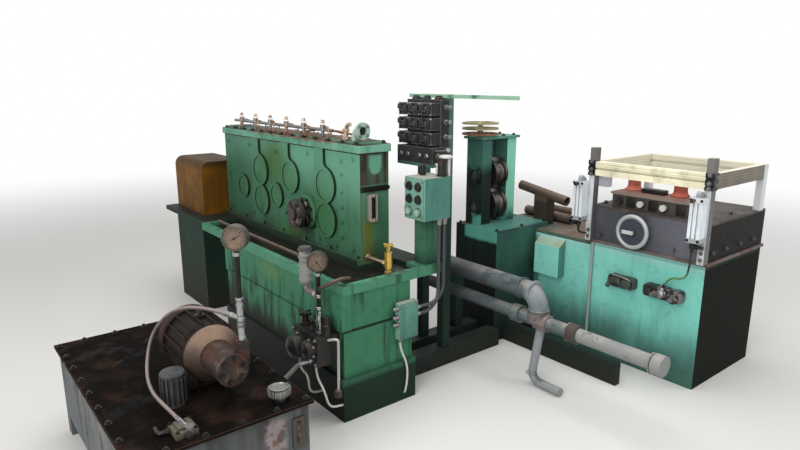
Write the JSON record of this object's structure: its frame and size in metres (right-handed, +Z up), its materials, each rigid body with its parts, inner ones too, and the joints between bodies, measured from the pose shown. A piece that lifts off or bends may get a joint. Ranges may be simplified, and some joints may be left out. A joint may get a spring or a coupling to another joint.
{
  "type": "tube mill section",
  "caption": "Section of a tube mill: gearbox on a drive base, grooved roll stand, roll head with handwheel and guard frame, coolant pipes, valve rack and hydraulic unit.",
  "frame": {"origin": "on the floor, under the middle of the drive base", "axes": "+X along the mill, -Y is the working side with the input coupling and the hydraulic unit, +Z up"},
  "size_m": [3.395, 3.241, 1.484],
  "materials": {
    "teal_paint": "satin, worn and oily",
    "gearbox_paint": "satin, worn and greasy",
    "dark_steel": "oily and dark",
    "rusty_steel": "rusty",
    "roll_steel": "worn bright",
    "profile_metal": "satin",
    "orange_paint": "dusty",
    "pipe_paint": "dusty",
    "tank_paint": "stained",
    "oily_lid": "glossy with oil",
    "box_paint": "satin",
    "button_plastic": "gloss",
    "gauge_metal": "dull",
    "bright_cap": "bright",
    "brass_fitting": "tarnished",
    "conduit_cover": "dull",
    "motor_paint": "dusty"
  },
  "bodies": {
    "mill_frame": {"air_hose": "conduit_cover", "bearing_covers": "gearbox_paint", "bed_plate": "teal_paint", "bed_section": "teal_paint", "bed_top": "rusty_steel", "circulation_motor": "pipe_paint", "clamp_blocks": "orange_paint", "conduits": "conduit_cover", "control_box": "box_paint", "control_post": "teal_paint", "coolant_branch": "pipe_paint", "coolant_feed": "pipe_paint", "coolant_main": "pipe_paint", "drain_valve": "brass_fitting", "drive_base": "teal_paint", "drive_bed": "teal_paint", "filler_cap": "bright_cap", "filter_block": "dark_steel", "floor_beams": "teal_paint", "frame_bars": "profile_metal", "frame_posts": "profile_metal", "gearbox_case": "gearbox_paint", "gearbox_lid": "rusty_steel", "head_plates": "rusty_steel", "hydraulic_lines": "dark_steel", "input_collar": "gearbox_paint", "junction_box": "box_paint", "lube_rail": "dark_steel", "oil_pump": "dark_steel", "pipe_stand": "teal_paint", "pressure_gauges": "gauge_metal", "pump_motor": "motor_paint", "push_buttons": "button_plastic", "rack_frame": "teal_paint", "return_hose": "conduit_cover", "ribbed_riser": "dark_steel", "roll_head": "dark_steel", "saddle": "dark_steel", "saddle_knobs": "bright_cap", "side_cylinders": "profile_metal", "side_guard": "orange_paint", "side_table": "teal_paint", "sight_glass": "bright_cap", "socket_boxes": "box_paint", "solenoid_valves": "dark_steel", "stand_base": "teal_paint", "stand_cap": "teal_paint", "stand_posts": "teal_paint", "station_cabinet": "teal_paint", "tank": "tank_paint", "tank_legs": "tank_paint", "tank_lid": "oily_lid", "tube_offcuts": "rusty_steel", "valve_manifold": "dark_steel", "vent_pipe": "box_paint", "wheel_boss": "dark_steel"},
    "input_coupling": {"input_hub": "dark_steel"},
    "handwheel_turning": {"handwheel": "roll_steel"},
    "lower_roll_turning": {"lower_roll": "roll_steel"},
    "upper_roll_turning": {"upper_roll": "roll_steel"}
  },
  "joints": [
    {"name": "input_spin", "type": "hinge", "parent": "mill_frame", "child": "input_coupling", "pos_m": [-0.078, 0.063, 0.85], "axis": [0, 1, 0], "continuous": true},
    {"name": "handwheel_spin", "type": "hinge", "parent": "mill_frame", "child": "handwheel_turning", "pos_m": [1.129, 1.296, 0.776], "axis": [0, 1, 0], "continuous": true},
    {"name": "lower_roll_spin", "type": "hinge", "parent": "mill_frame", "child": "lower_roll_turning", "pos_m": [0.195, 1.208, 0.797], "axis": [0, 1, 0], "continuous": true},
    {"name": "upper_roll_spin", "type": "hinge", "parent": "mill_frame", "child": "upper_roll_turning", "pos_m": [0.195, 1.208, 0.993], "axis": [0, 1, 0], "continuous": true}
  ],
  "couplings": [
    {"joint": "upper_roll_spin", "follows": "lower_roll_spin", "ratio": -1}
  ]
}
